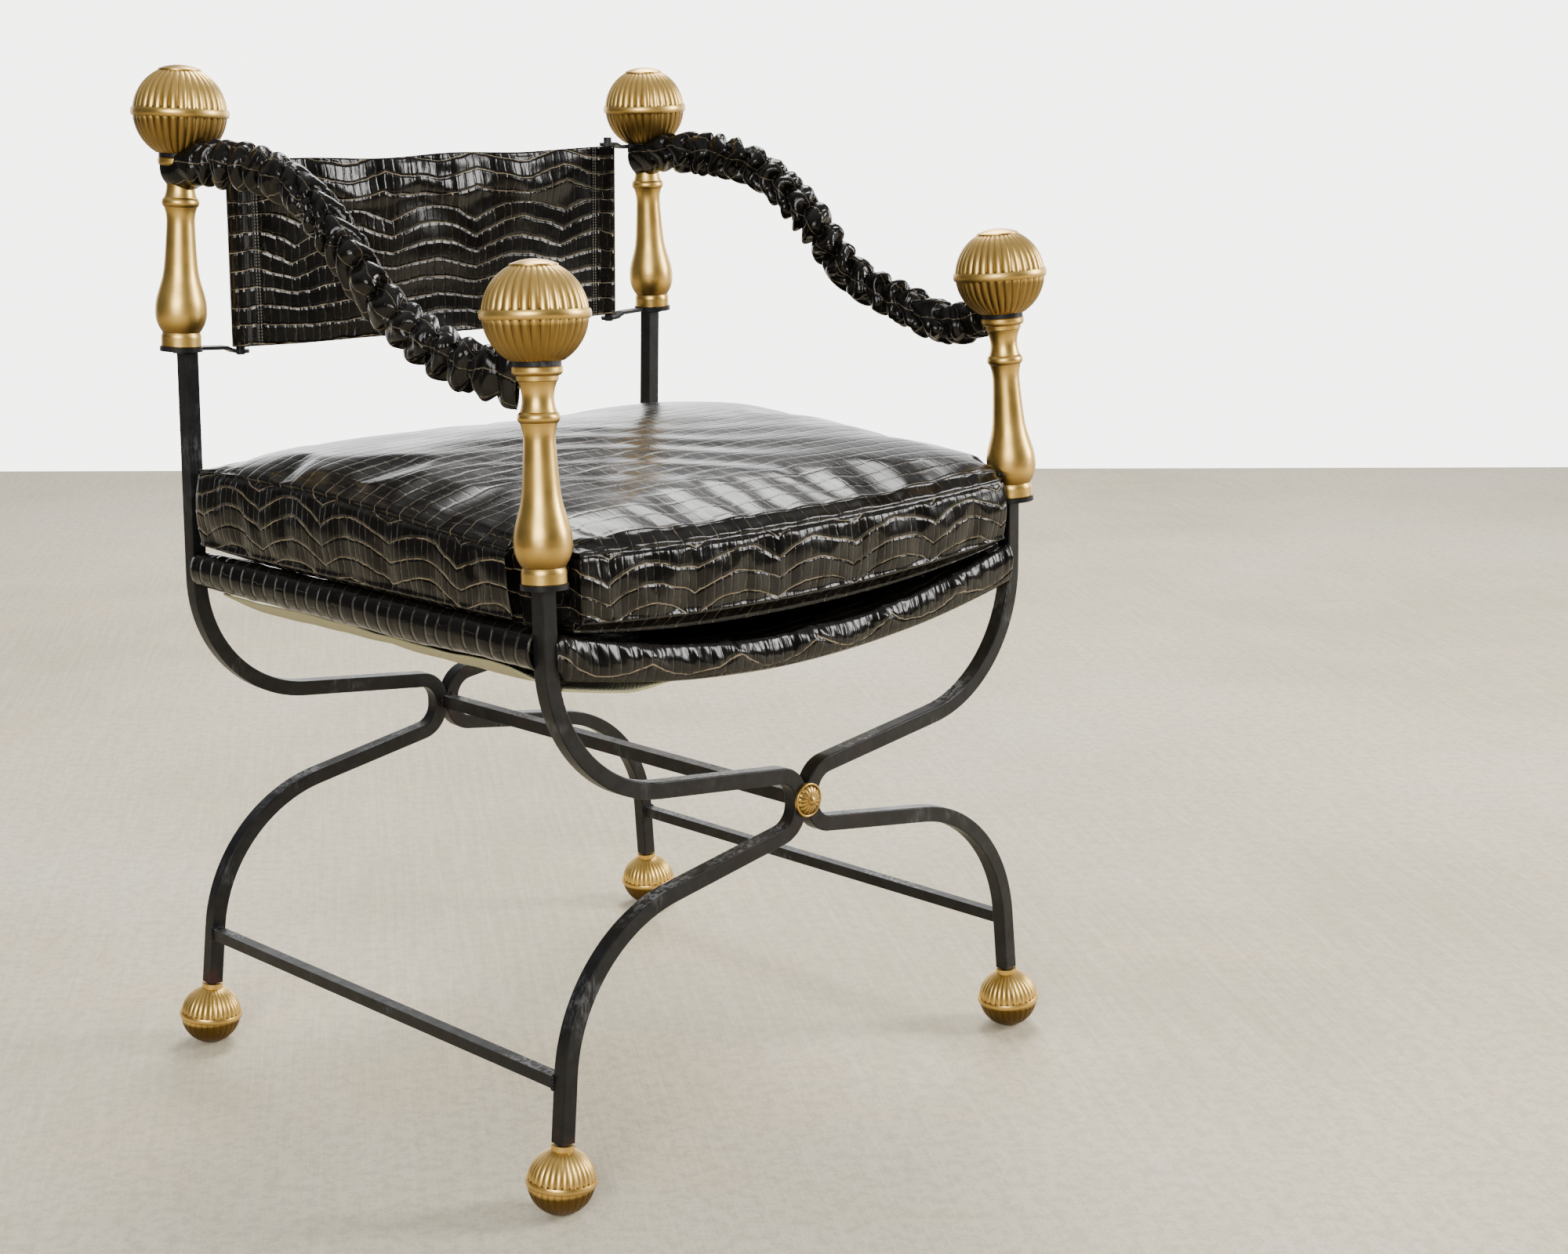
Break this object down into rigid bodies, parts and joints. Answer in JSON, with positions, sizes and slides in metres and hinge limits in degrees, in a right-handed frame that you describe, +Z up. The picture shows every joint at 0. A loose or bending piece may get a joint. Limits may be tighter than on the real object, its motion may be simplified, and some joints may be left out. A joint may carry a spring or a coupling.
{
  "type": "savonarola armchair",
  "caption": "Curule armchair with X-shaped black iron frames, brass columns and gadrooned balls, a leather back and arm straps, a leather sling seat and a loose cushion.",
  "frame": {"origin": "on the floor, at the middle of the chair's width and depth", "axes": "+Z up, the front of the chair faces -Y, +X to the right when looking along +Y"},
  "size_m": [0.6212, 0.5728, 0.8988],
  "materials": {
    "black_iron": "satin",
    "bare_steel": "satin",
    "aged_brass": "satin",
    "black_leather": "gloss",
    "jute_webbing": "matte"
  },
  "bodies": {
    "frame": {"front_left_leg": "black_iron", "front_left_ball_foot": "aged_brass", "front_left_column": "aged_brass", "front_left_ball_finial": "aged_brass", "front_right_leg": "black_iron", "front_right_ball_foot": "aged_brass", "front_right_column": "aged_brass", "front_right_ball_finial": "aged_brass", "rear_left_leg": "black_iron", "rear_left_ball_foot": "aged_brass", "rear_left_column": "aged_brass", "rear_left_ball_finial": "aged_brass", "rear_right_leg": "black_iron", "rear_right_ball_foot": "aged_brass", "rear_right_column": "aged_brass", "rear_right_ball_finial": "aged_brass", "left_foot_rail": "black_iron", "left_seat_rod": "black_iron", "left_back_rod": "black_iron", "front_left_lower_plate": "black_iron", "front_left_upper_plate": "black_iron", "rear_left_lower_bracket": "black_iron", "rear_left_upper_bracket": "black_iron", "left_arm_strap": "black_leather", "right_foot_rail": "black_iron", "right_seat_rod": "black_iron", "right_back_rod": "black_iron", "front_right_lower_plate": "black_iron", "front_right_upper_plate": "black_iron", "rear_right_lower_bracket": "black_iron", "rear_right_upper_bracket": "black_iron", "right_arm_strap": "black_leather", "centre_rail": "black_iron", "foot_studs": "bare_steel", "tie_rods": "bare_steel", "rosette": "aged_brass", "back_panel": "black_leather", "seat_sling": "black_leather", "seat_lining": "jute_webbing"},
    "cushion": {"seat_cushion": "black_leather"}
  },
  "joints": [
    {"name": "cushion_lift", "type": "slide", "parent": "frame", "child": "cushion", "axis": [0, 0, 1], "range_m": [0, 0.06]}
  ]
}
